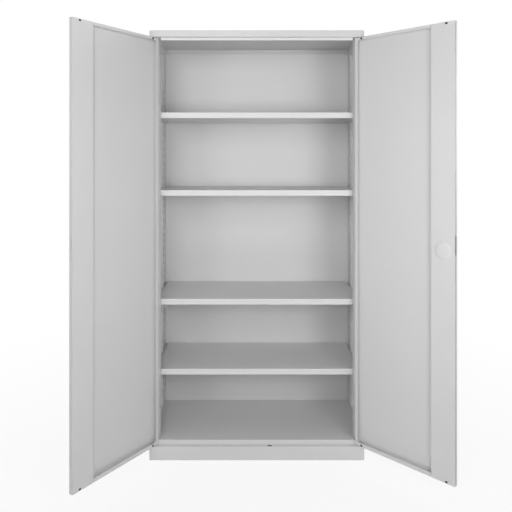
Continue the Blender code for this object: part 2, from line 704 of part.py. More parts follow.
def guide_block(name, side, end, inward, axis, rod_y=None):
    """Black block in a door flange near the free edge: a rod guide, or a plug where no rod runs.

    Its nose shows in the stile. A rod guide is longer, and its neck and bore are on the rod's line.
    """
    nose_x = side * NOSE_X
    middle = neck_place(side)
    inside = end + inward * (SHEET + SEAT)
    deep = end + inward * GUIDE_DEPTH
    outside = end - inward * SEAT
    neck = GUIDE_NECK_WIDTH / 2
    front, rear = FRONT + GUIDE_NECK_FRONT, FRONT + GUIDE_NECK_REAR
    wide_front = FRONT + SHEET + SEAT
    wide_rear = DOOR_INNER - SHEET - SEAT
    outer, inner = nose_x - side * GUIDE_WIDTH / 2, middle + side * GUIDE_WIDTH / 2
    body = [((outer, wide_front, inside), (inner, wide_rear, deep))]
    block = new_piece(name, box_mesh("block", body), "black_nylon", axis)
    neck_box = ((middle - neck, front, inside + inward * SHEET), (middle + neck, rear, outside))
    tool(block, box_mesh("block_neck", [neck_box]), "UNION")
    collar = ((middle - GUIDE_WIDTH / 2, front - GUIDE_COLLAR, outside),
              (middle + GUIDE_WIDTH / 2, rear + GUIDE_COLLAR, outside - inward * GUIDE_COLLAR))
    tool(block, box_mesh("block_collar", [collar]), "UNION")
    nose = ((nose_x - BLOCK_WIDTH / 2, wide_rear - GUIDE_COLLAR, end + inward * (NOTCH_START + SEAT)),
            (nose_x + BLOCK_WIDTH / 2, DOOR_INNER, deep))
    tool(block, box_mesh("block_nose", [nose]), "UNION")
    if rod_y is not None:
        reach = ROD_WIDTH / 2 + SEAT
        bore = ((middle - reach, rod_y - SEAT, end - inward * OVERRUN),
                (middle + reach, rod_y + ROD_THICKNESS + SEAT, deep + inward * OVERRUN))
        tool(block, box_mesh("block_bore", [bore]))
    return block


def door(hand, side, angle):
    """One door with its stile, pins, bushes and blocks, on the empty at its pivot pins."""
    axis = axis_empty(hand + "_door_axis", (side * PIN_X, PIN_Y, 0))
    shell = door_shell(hand + "_door_shell", side, axis)
    stile = door_stile(hand + "_door_stile", side, axis)
    for name, end, inward, rod_y in (("top", DOOR_HIGH, -1, UPPER_ROD_Y),
                                     ("bottom", DOOR_LOW, 1, LOWER_ROD_Y)):
        pivot(name, side, end, inward, axis)
        if side > 0:
            guide_block("rod_guide_" + name, side, end, inward, axis, rod_y)
        else:
            guide_block("door_plug_" + name, side, end, inward, axis)
    return axis, shell, stile


def lock_cap(axis, stile):
    """Shallow domed cap clipped in the stile's round hole, over the lock."""
    centre = (LOCK_X, DOOR_INNER, LOCK_HEIGHT)
    hole = CAP_SKIRT_RADIUS + CAP_HOLE_GAP
    round_hole = disc(LOCK_X, LOCK_HEIGHT, hole)
    tool(stile, prism_mesh("cap_hole", round_hole, DOOR_INNER - OVERRUN, DOOR_INNER + OVERRUN))
    crown = CAP_RIM + CAP_RISE
    profile = [(CAP_RADIUS * across, SEAT + crown * up) for across, up in CAP_RISE_SHARES]
    inner = CAP_SKIRT_RADIUS - CAP_SKIRT_WALL
    profile = [(0, SEAT + crown)] + profile[::-1]
    profile += [(CAP_SKIRT_RADIUS, SEAT), (CAP_SKIRT_RADIUS, -CAP_SKIRT_DEPTH), (inner, -CAP_SKIRT_DEPTH),
                (inner, SEAT + CAP_RIM), (0, SEAT + CAP_RIM)]
    return new_piece("lock_cap", turned_mesh("lock_cap", profile, centre, "y"), "white_cap_plastic", axis)


def turn_lock(door_axis, shell):
    """Rosette, turn handle with its key cylinder, cam, tongue and the two rods."""
    centre = (LOCK_X, FRONT, LOCK_HEIGHT)
    bore = SPINDLE_RADIUS + RUNNING_GAP
    turn_axis = axis_empty("turn_axis", centre, door_axis)
    through = disc(LOCK_X, LOCK_HEIGHT, bore)
    tool(shell, prism_mesh("spindle_hole", through, FRONT - OVERRUN, FRONT + OVERRUN))
    rosette_back, rosette_front = -SEAT, -SEAT - ROSETTE_THICKNESS
    edge = ROSETTE_THICKNESS / 3
    rosette = [(bore, rosette_back), (ROSETTE_RADIUS, rosette_back), (ROSETTE_RADIUS, rosette_front + edge),
               (ROSETTE_RADIUS - edge, rosette_front), (bore, rosette_front)]
    new_piece("handle_rosette", turned_mesh("handle_rosette", rosette, centre, "y"), "black_nylon", door_axis)

    knob_back = rosette_front - SEAT
    knob_front = knob_back - KNOB_THICKNESS
    barrel_front = knob_front - BARREL_LENGTH
    plug_bore = PLUG_RADIUS + RUNNING_GAP
    plug_back = barrel_front + PLUG_LENGTH + SEAT
    chamfer = KNOB_THICKNESS / 4
    profile = [(0, SPINDLE_END), (SPINDLE_RADIUS, SPINDLE_END), (SPINDLE_RADIUS, knob_back),
               (KNOB_RADIUS, knob_back), (KNOB_RADIUS, knob_front + chamfer),
               (KNOB_RADIUS - chamfer, knob_front),
               (BARREL_RADIUS, knob_front), (BARREL_RADIUS, barrel_front + chamfer),
               (BARREL_RADIUS - chamfer, barrel_front), (plug_bore, barrel_front), (plug_bore, plug_back),
               (0, plug_back)]
    knob = turned_mesh("turn_handle", profile, centre, "y")
    handle = new_piece("turn_handle", knob, "black_nylon", turn_axis)
    grip_from, grip_to = FRONT + knob_front - GRIP_SETBACK, FRONT + barrel_front + GRIP_SETBACK
    middle_gap = BARREL_RADIUS - chamfer * 2
    for way in (-1, 1):
        low = (LOCK_X - GRIP_WIDTH / 2, grip_to, LOCK_HEIGHT + way * middle_gap)
        high = (LOCK_X + GRIP_WIDTH / 2, grip_from, LOCK_HEIGHT + way * GRIP_LENGTH / 2)
        wing = box_mesh("grip", [(low, high)])
        shape = bmesh.new()
        shape.from_mesh(wing)
        bmesh.ops.bevel(shape, geom=shape.edges[:], offset=GRIP_ROUNDING, segments=2, profile=0.5,
                        affect="EDGES")
        shape.to_mesh(wing)
        shape.free()
        tool(handle, wing, "UNION")

    plug_front = barrel_front - SEAT
    plug_end = plug_front + PLUG_LENGTH
    bar = [(0, plug_front), (PLUG_RADIUS, plug_front), (PLUG_RADIUS, plug_end), (0, plug_end)]
    plug = new_piece("lock_plug", turned_mesh("lock_plug", bar, centre, "y"), "chrome", turn_axis)
    half_width, half_length = KEY_SLOT_WIDTH / 2, KEY_SLOT_LENGTH / 2
    key_low = (LOCK_X - half_width, FRONT + plug_front - OVERRUN, LOCK_HEIGHT - half_length)
    key_high = (LOCK_X + half_width, FRONT + plug_front + KEY_SLOT_DEPTH, LOCK_HEIGHT + half_length)
    tool(plug, box_mesh("key_slot", [(key_low, key_high)]))

    cam_end = CAM_START + CAM_THICKNESS
    ring = [(bore, CAM_START), (CAM_RADIUS, CAM_START), (CAM_RADIUS, cam_end), (bore, cam_end)]
    cam = new_piece("cam_disc", turned_mesh("cam_disc", ring, centre, "y"), "zinc_plate", turn_axis)
    pins = ((1, -1, UPPER_ROD_Y), (-1, 1, LOWER_ROD_Y))
    for across, up, rod_y in pins:
        middle = (LOCK_X + across * CAM_PIN_OFFSET, FRONT, LOCK_HEIGHT + up * CAM_PIN_OFFSET)
        pin_end = rod_y - FRONT + ROD_THICKNESS + ROD_LAYER_GAP / 2
        start = CAM_START + CAM_THICKNESS / 2
        pin = [(0, start), (CAM_PIN_RADIUS, start), (CAM_PIN_RADIUS, pin_end), (0, pin_end)]
        tool(cam, turned_mesh("cam_pin", pin, middle, "y", SMALL_SIDES), "UNION")

    tongue(centre, turn_axis)
    nut_start = TONGUE_Y - FRONT + TONGUE_THICKNESS + SEAT
    nut_end = nut_start + NUT_THICKNESS
    nut = new_piece("spindle_nut", prism_mesh("spindle_nut", disc(LOCK_X, LOCK_HEIGHT, NUT_RADIUS, NUT_SIDES),
                    FRONT + nut_start, FRONT + nut_end), "zinc_plate", turn_axis)
    tool(nut, prism_mesh("nut_hole", through, FRONT + nut_start - OVERRUN, FRONT + nut_end + OVERRUN))
    rods(door_axis)


def tongue(centre, turn_axis):
    """Latch tongue: a flat bar with round ends, upright when unlocked."""
    half = TONGUE_WIDTH / 2
    steps = SMALL_SIDES // 2
    outline = []
    for step in range(steps + 1):
        angle = math.pi + math.pi * step / steps
        outline.append((LOCK_X + half * math.cos(angle), LOCK_HEIGHT + half * math.sin(angle)))
    tip = TONGUE_LENGTH - half
    for step in range(steps + 1):
        angle = math.pi * step / steps
        outline.append((LOCK_X + half * math.cos(angle), LOCK_HEIGHT + tip + half * math.sin(angle)))
    mesh = prism_mesh("latch_tongue", outline, TONGUE_Y, TONGUE_Y + TONGUE_THICKNESS)
    piece = new_piece("latch_tongue", mesh, "zinc_plate", turn_axis)
    hole = disc(LOCK_X, LOCK_HEIGHT, SPINDLE_RADIUS + RUNNING_GAP)
    tool(piece, prism_mesh("tongue_hole", hole, TONGUE_Y - OVERRUN, TONGUE_Y + OVERRUN))


def rods(door_axis):
    """Upper and lower flat rods, each the other turned half round about the handle's axis.

    An open yoke beside the spindle takes the cam's pin. An arm leads from it past the cam to a
    crosspiece, and the rod runs on from there to the door's end.
    """
    near = SPINDLE_RADIUS + YOKE_SPINDLE_GAP
    blind = CAM_PIN_CIRCLE + CAM_PIN_RADIUS + YOKE_GAP
    arm = blind + YOKE_WALL
    slot_half = CAM_PIN_RADIUS + YOKE_GAP
    prong = slot_half + YOKE_WALL
    pin = -CAM_PIN_OFFSET
    cross_low, cross_high = ROD_CROSS_HEIGHT, ROD_CROSS_HEIGHT + ROD_CROSS_WIDTH
    for name, way, rod_y, end in (("upper_rod", 1, UPPER_ROD_Y, DOOR_HIGH - ROD_END_INSET),
                                  ("lower_rod", -1, LOWER_ROD_Y, DOOR_LOW + ROD_END_INSET)):
        line = way * (ROD_X - LOCK_X)
        rod_out, rod_in = line - ROD_WIDTH / 2, line + ROD_WIDTH / 2
        tip = way * (end - LOCK_HEIGHT)
        shape = [(rod_out, tip), (rod_out, cross_low), (blind, cross_low), (blind, pin + prong),
                 (near, pin + prong), (near, pin + slot_half), (blind, pin + slot_half),
                 (blind, pin - slot_half), (near, pin - slot_half), (near, pin - prong),
                 (arm, pin - prong), (arm, cross_high), (rod_in, cross_high), (rod_in, tip)]
        outline = [(LOCK_X + way * across, LOCK_HEIGHT + way * up) for across, up in shape]
        axis = axis_empty(name + "_axis", (ROD_X, rod_y, LOCK_HEIGHT), door_axis)
        new_piece(name, prism_mesh(name, outline, rod_y, rod_y + ROD_THICKNESS), "zinc_plate", axis)


def main():
    """Build the whole cupboard with both doors open."""
    clear_scene()
    side_panel("left_side_panel", -1)
    side_panel("right_side_panel", 1)
    top_panel()
    plinth()
    floor_panel()
    back_panel()
    for hand, side in (("left", -1), ("right", 1)):
        slotted_strip("shelf_strip_%s_front" % hand, side, STRIP_FRONT_SETBACK)
        slotted_strip("shelf_strip_%s_rear" % hand, side, STRIP_REAR_SETBACK)
    shelves()
    left_axis, _, _ = door("left", -1, LEFT_OPEN_DEGREES)
    right_axis, shell, stile = door("right", 1, RIGHT_OPEN_DEGREES)
    lock_cap(right_axis, stile)
    turn_lock(right_axis, shell)
    left_axis.rotation_euler.z = -math.radians(LEFT_OPEN_DEGREES)
    right_axis.rotation_euler.z = math.radians(RIGHT_OPEN_DEGREES)
    bpy.context.view_layer.update()


main()
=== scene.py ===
"""Dresses the two-door steel cupboard: powder coat, plated and moulded parts, studio and camera."""
import json
import math

import bpy
from mathutils import Matrix, Vector


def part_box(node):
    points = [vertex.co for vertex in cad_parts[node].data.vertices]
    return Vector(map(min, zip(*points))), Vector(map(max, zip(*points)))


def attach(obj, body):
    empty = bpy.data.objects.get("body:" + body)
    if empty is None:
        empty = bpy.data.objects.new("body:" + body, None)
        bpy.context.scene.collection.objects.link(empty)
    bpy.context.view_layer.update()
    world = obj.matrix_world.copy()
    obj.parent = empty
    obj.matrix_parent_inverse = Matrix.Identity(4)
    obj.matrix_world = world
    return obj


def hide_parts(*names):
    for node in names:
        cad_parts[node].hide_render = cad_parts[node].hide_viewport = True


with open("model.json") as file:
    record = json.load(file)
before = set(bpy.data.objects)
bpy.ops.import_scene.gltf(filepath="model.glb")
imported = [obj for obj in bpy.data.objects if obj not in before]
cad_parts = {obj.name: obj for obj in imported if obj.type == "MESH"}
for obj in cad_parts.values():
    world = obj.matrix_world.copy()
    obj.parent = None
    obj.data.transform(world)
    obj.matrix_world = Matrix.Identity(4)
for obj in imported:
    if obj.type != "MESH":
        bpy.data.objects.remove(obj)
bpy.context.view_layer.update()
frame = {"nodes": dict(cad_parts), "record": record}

MM = 0.001

# Side of the square image in pixels
IMAGE = 512

# Camera: measured from the photograph's vanishing lines, distances from the cupboard's front
FRONT_Y = -0.020
CAMERA_DISTANCE = 2.44
CAMERA_HEIGHT = 1.2655
FOCAL_PIXELS = 583
SENSOR_WIDTH = 36
PRINCIPAL_POINT = (256.8, 158.0)

# Soft boxes, which all look at one target: name, place and side in metres, power in watts
LIGHT_TARGET = (0, 0.1, 1.0)
SOFT_BOXES = (
    ("front_box", (0, -2.4, 1.2), 0.8, 10.2),
    ("left_box", (-0.5, -1.8, 1.8), 0.6, 9.2),
    ("right_box", (0.9, -1.8, 1.2), 0.6, 10.6),
    ("far_left_box", (-1.8, -2.6, 1.3), 0.8, 10.1),
    ("far_right_box", (1.8, -2.6, 1.3), 0.8, 4.5),
    ("top_box", (0, -0.6, 3.6), 2.0, 5.5),
    ("rear_box", (0, 3.8, 2.4), 2.4, 60),
    ("rear_left_box", (-3.4, 1.6, 1.8), 1.6, 58),
    ("rear_right_box", (3.4, 1.6, 1.8), 1.6, 58),
)

# Floor, in metres: its side, and how far it lies below the cupboard
FLOOR_SIDE, FLOOR_DROP = 30, 0.5 * MM

# The floor's look is this share of plain white up to the near distance, and all white from the far one
FLOOR_NEAR, FLOOR_FAR, FLOOR_NEAR_WHITE = 0.8, 2.4, 0.87

# Strength of the white backdrop as a light
ROOM_LIGHT = 0.05

# Lock: distances from the door's outer face along the handle's axis
DOOR_THICKNESS = 17 * MM
SEAT = 0.3 * MM

# Slotted strips: how far behind their face, and how far from the slots' middle, the sheet is painted near
# black as the slots' shade
PAINTED_SHADE_BEHIND = 0.1 * MM
PAINTED_SHADE_HALF_WIDTH = 8 * MM

# Edges sharper than the first angle are rounded, and faces that meet below the second look smooth
ROUNDED_ABOVE, SMOOTH_BELOW = math.radians(30), math.radians(35)

# How square to an axis a face is, from 0 to 1, to count as an end of a bar or a side of a box
END_FACING, SIDE_FACING = 0.99, 0.9

# Sockets of a Mix node that mixes colours: the two colours and the result
MIX_LOW, MIX_HIGH, MIX_RESULT = 6, 7, 2

NODES = frame["nodes"]
JOINTS = {joint["name"]: joint for joint in frame["record"]["behaviour"]["joints"]}


def colour(code):
    """Turn an sRGB hex value into linear RGBA."""
    parts = [int(code[place:place + 2], 16) / 255 for place in (1, 3, 5)]
    return [c / 12.92 if c <= 0.04045 else ((c + 0.055) / 1.055) ** 2.4 for c in parts] + [1.0]


def tones(low, high):
    """Settings of a Mix node that drifts between two colours."""
    return {"data_type": "RGBA", MIX_LOW: colour(low), MIX_HIGH: colour(high)}


def link(material, node, links):
    """Link sockets, or nodes' first outputs, to a node's inputs."""
    for key, source in links.items():
        output = source.outputs[0] if isinstance(source, bpy.types.Node) else source
        material.node_tree.links.new(output, node.inputs[key])


def add(material, kind, settings=None, links=None):
    """Add a node, set its properties and sockets, and link other nodes' outputs to its inputs."""
    node = material.node_tree.nodes.new(kind)
    for key, value in (settings or {}).items():
        if isinstance(key, int) or not hasattr(node, key):
            node.inputs[key].default_value = value
        else:
            setattr(node, key, value)
    link(material, node, links or {})
    return node


def new_material(name, **values):
    """Make a material with a Principled surface at the given socket values."""
    material = bpy.data.materials.new(name)
    material.use_nodes = True
    surface = material.node_tree.nodes["Principled BSDF"]
    for key, value in values.items():
        surface.inputs[key.replace("_", " ")].default_value = value
    return material, surface


def powder_coat():
    """Polyester powder coat on cold-rolled sheet: satin, with a fine orange peel.

    The thin sheet's slow waves bend its soft reflections, and the coat's tone drifts a little.
    The real peel is about 1 mm across. It is drawn 3 mm across, to show at this size.
    """
    drift_size, gloss_size, wave_size, peel_size = 320 * MM, 90 * MM, 260 * MM, 3 * MM
    wave_height, peel_height = 2 * MM, 0.1 * MM
    material, surface = new_material("powder_coated_steel", IOR=1.5)
    at = add(material, "ShaderNodeTexCoord").outputs["Object"]
    drift = add(material, "ShaderNodeTexNoise", {"Scale": 1 / drift_size, "Detail": 2.0}, {"Vector": at})
    shade = add(material, "ShaderNodeMix", tones("#D8D8D8", "#DCDCDC"), {"Factor": drift})
    gloss = add(material, "ShaderNodeTexNoise", {"Scale": 1 / gloss_size, "Detail": 3.0}, {"Vector": at})
    rough = add(material, "ShaderNodeMapRange", {"To Min": 0.38, "To Max": 0.48}, {"Value": gloss})
    wave = add(material, "ShaderNodeTexNoise", {"Scale": 1 / wave_size, "Detail": 1.0}, {"Vector": at})
    waves = add(material, "ShaderNodeBump", {"Strength": 0.25, "Distance": wave_height}, {"Height": wave})
    peel = add(material, "ShaderNodeTexNoise", {"Scale": 1 / peel_size, "Detail": 2.0}, {"Vector": at})
    skin = add(material, "ShaderNodeBump", {"Strength": 0.12, "Distance": peel_height},
               {"Height": peel, "Normal": waves})
    link(material, surface, {"Base Color": shade.outputs[MIX_RESULT], "Roughness": rough, "Normal": skin})
    return material


def slotted_strip_coat():
    """The same powder coat on the slotted strips, with painted shade at the punched slots.

    The slots' edges and the strip's inside are painted near black, as the shade that falls in them.
    """
    front_low, front_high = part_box("shelf_strip_right_front")
    rear_low, rear_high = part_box("shelf_strip_right_rear")
    face = front_low[0]
    front_line = (front_low[1] + front_high[1]) / 2
    rear_line = (rear_low[1] + rear_high[1]) / 2
    material = COAT.copy()
    material.name = "powder_coated_strip_with_painted_slot_shade"
    surface = material.node_tree.nodes["Principled BSDF"]
    shade = surface.inputs["Base Color"].links[0].from_socket
    at = add(material, "ShaderNodeTexCoord").outputs["Object"]
    place = add(material, "ShaderNodeSeparateXYZ", {}, {"Vector": at})
    aside = add(material, "ShaderNodeMath", {"operation": "ABSOLUTE"}, {0: place.outputs["X"]})
    behind = add(material, "ShaderNodeMath", {"operation": "GREATER_THAN", 1: face + PAINTED_SHADE_BEHIND},
                 {0: aside})
    between = add(material, "ShaderNodeMath", {"operation": "SUBTRACT", 1: (front_line + rear_line) / 2},
                  {0: place.outputs["Y"]})
    either = add(material, "ShaderNodeMath", {"operation": "ABSOLUTE"}, {0: between})
    offset = add(material, "ShaderNodeMath", {"operation": "SUBTRACT", 1: (rear_line - front_line) / 2},
                 {0: either})
    spread = add(material, "ShaderNodeMath", {"operation": "ABSOLUTE"}, {0: offset})
    near = add(material, "ShaderNodeMath", {"operation": "LESS_THAN", 1: PAINTED_SHADE_HALF_WIDTH}, {0: spread})
    # Painted shade: a mask of the slots' edges and the strip's inside, which are painted near black
    painted_shade = add(material, "ShaderNodeMath", {"operation": "MULTIPLY"}, {0: behind, 1: near})
    mixed = add(material, "ShaderNodeMix", {"data_type": "RGBA", MIX_HIGH: colour("#343433")},
                {"Factor": painted_shade, MIX_LOW: shade})
    link(material, surface, {"Base Color": mixed.outputs[MIX_RESULT]})
    return material


def zinc_plate():
    """Bright zinc plate: a cool grey metal with a cloudy, slightly rough passivated skin."""
    cloud_size, grain_size, grain_height = 12 * MM, 0.8 * MM, 0.05 * MM
    material, surface = new_material("zinc_plated_steel", Metallic=1.0)
    at = add(material, "ShaderNodeTexCoord").outputs["Object"]
    cloud = add(material, "ShaderNodeTexNoise", {"Scale": 1 / cloud_size, "Detail": 4.0}, {"Vector": at})
    shade = add(material, "ShaderNodeMix", tones("#A9ACAC", "#C9CBC8"), {"Factor": cloud})
    rough = add(material, "ShaderNodeMapRange", {"To Min": 0.28, "To Max": 0.46}, {"Value": cloud})
    grain = add(material, "ShaderNodeTexNoise", {"Scale": 1 / grain_size, "Detail": 2.0}, {"Vector": at})
    skin = add(material, "ShaderNodeBump", {"Strength": 0.15, "Distance": grain_height}, {"Height": grain})
    link(material, surface, {"Base Color": shade.outputs[MIX_RESULT], "Roughness": rough, "Normal": skin})
    return material


def moulded(name, low, high, roughness, grain_size):
    """Moulded plastic with the even grain of an eroded mould and a faint drift of tone."""
    drift_size, grain_height = 25 * MM, 0.04 * MM
    least, most = roughness - 0.05, roughness + 0.05
    material, surface = new_material(name, IOR=1.53)
    at = add(material, "ShaderNodeTexCoord").outputs["Object"]
    drift = add(material, "ShaderNodeTexNoise", {"Scale": 1 / drift_size, "Detail": 2.0}, {"Vector": at})
    shade = add(material, "ShaderNodeMix", tones(low, high), {"Factor": drift})
    rough = add(material, "ShaderNodeMapRange", {"To Min": least, "To Max": most}, {"Value": drift})
    grain = add(material, "ShaderNodeTexVoronoi", {"Scale": 1 / grain_size}, {"Vector": at})
    skin = add(material, "ShaderNodeBump", {"Strength": 0.2, "Distance": grain_height}, {"Height": grain})
    link(material, surface, {"Base Color": shade.outputs[MIX_RESULT], "Roughness": rough, "Normal": skin})
    return material


def chrome_plate():
    """Chrome on a brass cylinder: mirror bright, with a faint haze from wear."""
    haze_size = 2 * MM
    material, surface = new_material("chrome_plated_brass", Metallic=1.0, Base_Color=colour("#D4D5D6"))
    at = add(material, "ShaderNodeTexCoord").outputs["Object"]
    haze = add(material, "ShaderNodeTexNoise", {"Scale": 1 / haze_size, "Detail": 5.0}, {"Vector": at})
    rough = add(material, "ShaderNodeMapRange", {"To Min": 0.08, "To Max": 0.22}, {"Value": haze})
    link(material, surface, {"Roughness": rough})
    return material


COAT = powder_coat()
STRIP_COAT = slotted_strip_coat()
ZINC = zinc_plate()
NYLON = moulded("black_nylon", "#141414", "#1C1C1D", 0.5, 0.7 * MM)
HANDLE_PLASTIC = moulded("black_handle_plastic", "#18181A", "#202022", 0.38, 0.5 * MM)
CAP_PLASTIC = moulded("light_grey_cap_plastic", "#D9D9D9", "#DDDDDD", 0.4, 0.6 * MM)
CHROME = chrome_plate()
FINISHES = {"grey_powder_coat": COAT, "zinc_plate": ZINC, "black_nylon": NYLON,
            "white_cap_plastic": CAP_PLASTIC, "chrome": CHROME}


def dress_frame():
    """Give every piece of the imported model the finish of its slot."""
    slots = {part["node"]: part["material_slot"] for part in frame["record"]["subparts"]}
    for name, node in NODES.items():
        strip = name.startswith("shelf_strip")
        for place in node.material_slots:
            place.material = STRIP_COAT if strip else FINISHES[slots[name]]


def lock_matrix():
    """Frame of the lock: x towards the hinge, y up, z out of the door along the handle's axis."""
    joint = JOINTS["handle_turn"]
    outward = Vector(joint["axis"]).normalized()
    up = Vector((0, 0, 1))
    across = up.cross(outward)
    turn = Matrix((across, up, outward)).transposed().to_4x4()
    return Matrix.Translation(joint["pos_m"]) @ turn


def closing_turn(hinge):
    """Turn that brings an open door's points to where they are with the door closed."""
    joint = JOINTS[hinge]
    pins = Matrix.Translation(joint["pos_m"])
    swing = Matrix.Rotation(math.radians(joint["range_deg"][0]), 4, Vector(joint["axis"]))
    return pins @ swing @ pins.inverted()


def span(points):
    """Lowest and highest corner of some points."""
    lows, highs = zip(*[(min(values), max(values)) for values in zip(*points)])
    return Vector(lows), Vector(highs)


def edit(piece):
    """Make a piece the only selected one and enter edit mode on its faces, none of them selected."""
    bpy.ops.object.select_all(action="DESELECT")
    piece.select_set(True)
    bpy.context.view_layer.objects.active = piece
    bpy.ops.object.mode_set(mode="EDIT")
    bpy.ops.mesh.select_mode(type="FACE")
    bpy.ops.mesh.select_all(action="DESELECT")


def object_mode():
    """Leave edit mode."""
    bpy.ops.object.mode_set(mode="OBJECT")


def pick(piece, wanted):
    """Select the wanted faces, from object mode, and enter edit mode."""
    for face in piece.data.polygons:
        face.select = wanted(face)
    bpy.ops.object.mode_set(mode="EDIT")


def cylinder(name, radius, start, stop, sides=96):
    """Add a round bar along z between two distances."""
    bpy.ops.object.select_all(action="DESELECT")
    bpy.ops.mesh.primitive_cylinder_add(vertices=sides, radius=radius, depth=abs(stop - start),
                                        location=(0, 0, (start + stop) / 2))
    piece = bpy.context.object
    piece.name = name
    bpy.ops.object.transform_apply(location=True, rotation=True, scale=True)
    return piece


def block(name, low, high):
    """Add a box between two opposite corners."""
    bpy.ops.object.select_all(action="DESELECT")
    middle, size = (Vector(low) + Vector(high)) / 2, Vector(high) - Vector(low)
    bpy.ops.mesh.primitive_cube_add(size=1, location=middle, scale=size)
    piece = bpy.context.object
    piece.name = name
    bpy.ops.object.transform_apply(location=True, rotation=True, scale=True)
    return piece


def step_end(piece, high, inset, rise=0):
    """Inset the high or the low end face, then draw it out by a rise, or in by a negative one."""
    object_mode()
    ends = [face for face in piece.data.polygons if abs(face.normal.z) > END_FACING]
    end = (max if high else min)(ends, key=lambda face: face.center.z)
    pick(piece, lambda face: face == end)
    bpy.ops.mesh.inset(thickness=inset)
    if rise:
        sign = 1 if high else -1
        bpy.ops.mesh.extrude_region_move(TRANSFORM_OT_translate={"value": (0, 0, sign * rise)})


def apply_modifier(piece, kind, **settings):
    """Put a modifier on the only selected piece and apply it."""
    step = piece.modifiers.new(kind.lower(), kind)
    for key, value in settings.items():
        setattr(step, key, value)
    bpy.ops.object.modifier_apply(modifier=step.name)


def bevelled(piece, width, segments=3):
    """Round the sharp edges and smooth the rest."""
    object_mode()
    apply_modifier(piece, "BEVEL", width=width, segments=segments, limit_method="ANGLE",
                   angle_limit=ROUNDED_ABOVE)
    bpy.ops.object.shade_smooth_by_angle(angle=SMOOTH_BELOW)


def cut(piece, tool, operation="DIFFERENCE"):
    """Cut a piece by a tool, or join the two, and drop the tool."""
    bpy.ops.object.select_all(action="DESELECT")
    piece.select_set(True)
    bpy.context.view_layer.objects.active = piece
    apply_modifier(piece, "BOOLEAN", operation=operation, solver="EXACT", object=tool)
    bpy.data.objects.remove(tool, do_unlink=True)


def settle(piece, body, material, node=None):
    """Give a piece its finish and let it ride on its body, in the stead of a node if one is named."""
    piece.data.materials.clear()
    piece.data.materials.append(material)
    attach(piece, body)
    if node:
        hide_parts(node)


def mount_on_lock(piece, body, node, material):
    """Put a piece that was made along the handle's axis on the door, in the stead of its node."""
    piece.data.transform(lock_matrix())
    settle(piece, body, material, node)


def lock_cap():
    """Shallow domed cap over the lock, on the stile's inner face."""
    seat = -DOOR_THICKNESS - SEAT
    radius, rim, crown, least_rise = 32.5 * MM, 1.3 * MM, 4.2 * MM, 0.05 * MM
    piece = cylinder("lock_cap_dome", radius, seat, seat - rim)
    edit(piece)
    # Rings of the dome: step inwards as a share of the radius, height reached as a share of the crown
    dome_shares = ((0.03, 0.42), (0.12, 0.66), (0.23, 0.86), (0.29, 0.97), (0.30, 1.0))
    reached = rim
    for inset_share, rise_share in dome_shares:
        rise = max(crown * rise_share - reached, least_rise)
        step_end(piece, False, radius * inset_share)
        bpy.ops.transform.translate(value=(0, 0, -rise))
        reached += rise
    skirt_radius, skirt_wall, skirt_depth = 25 * MM, 1.2 * MM, 1.9 * MM
    step_end(piece, True, radius - skirt_radius, skirt_depth)
    step_end(piece, True, skirt_wall, -skirt_depth)
    bevelled(piece, 0.35 * MM)
    mount_on_lock(piece, "right_door", "lock_cap", CAP_PLASTIC)


def rosette():
    """Round plate between the handle and the door's outer face."""
    radius, thickness, slope = 27 * MM, 2.7 * MM, 1.3 * MM
    bore_radius, bore_end = 5.1 * MM, 8 * MM
    piece = cylinder("handle_rose", radius, SEAT, SEAT + thickness)
    edit(piece)
    step_end(piece, True, slope)
    bpy.ops.transform.translate(value=(0, 0, slope))
    object_mode()
    cut(piece, cylinder("rose_bore", bore_radius, -MM, bore_end, sides=48))
    bevelled(piece, 0.4 * MM)
    mount_on_lock(piece, "right_door", "handle_rosette", NYLON)


def turn_handle():
    """Moulded wing handle with a knob plate, a barrel for the key cylinder and its spindle."""
    knob, barrel, plug_bore, plug_depth, spindle = 21 * MM, 12 * MM, 7.1 * MM, 17.3 * MM, 5 * MM
    knob_back, knob_front, barrel_front, spindle_reach = 4.6 * MM, 10.1 * MM, 29.1 * MM, 14.6 * MM
    grip_length, grip_width, grip_low, grip_high = 66 * MM, 13 * MM, 12.1 * MM, 27.1 * MM
    grip_rounding = 3 * MM
    piece = cylinder("turn_handle_wing", knob, knob_back, knob_front)
    edit(piece)
    step_end(piece, True, knob - barrel, barrel_front - knob_front)
    step_end(piece, False, knob - spindle, knob_back + spindle_reach)
    object_mode()
    grip = block("grip", (-grip_width / 2, -grip_length / 2, grip_low),
                 (grip_width / 2, grip_length / 2, grip_high))
    edit(grip)
    bpy.ops.mesh.select_all(action="SELECT")
    bpy.ops.mesh.bevel(offset=grip_rounding, segments=5, affect="EDGES")
    object_mode()
    cut(piece, grip, "UNION")
    cut(piece, cylinder("plug_bore", plug_bore, barrel_front - plug_depth, barrel_front + MM, sides=48))
    bevelled(piece, 0.5 * MM)
    mount_on_lock(piece, "handle", "turn_handle", HANDLE_PLASTIC)


def key_cylinder():
    """Chromed lock cylinder with a key slot."""
    radius, length, front = 7 * MM, 17 * MM, 29.4 * MM
    slot_width, slot_height, slot_depth = 1.4 * MM, 8 * MM, 7 * MM
    piece = cylinder("key_cylinder", radius, front - length, front, sides=64)
    bevelled(piece, 0.4 * MM)
    cut(piece, block("key_slot", (-slot_width / 2, -slot_height / 2, front - slot_depth),
                     (slot_width / 2, slot_height / 2, front + slot_depth)))
    mount_on_lock(piece, "lock_cylinder", "lock_plug", CHROME)


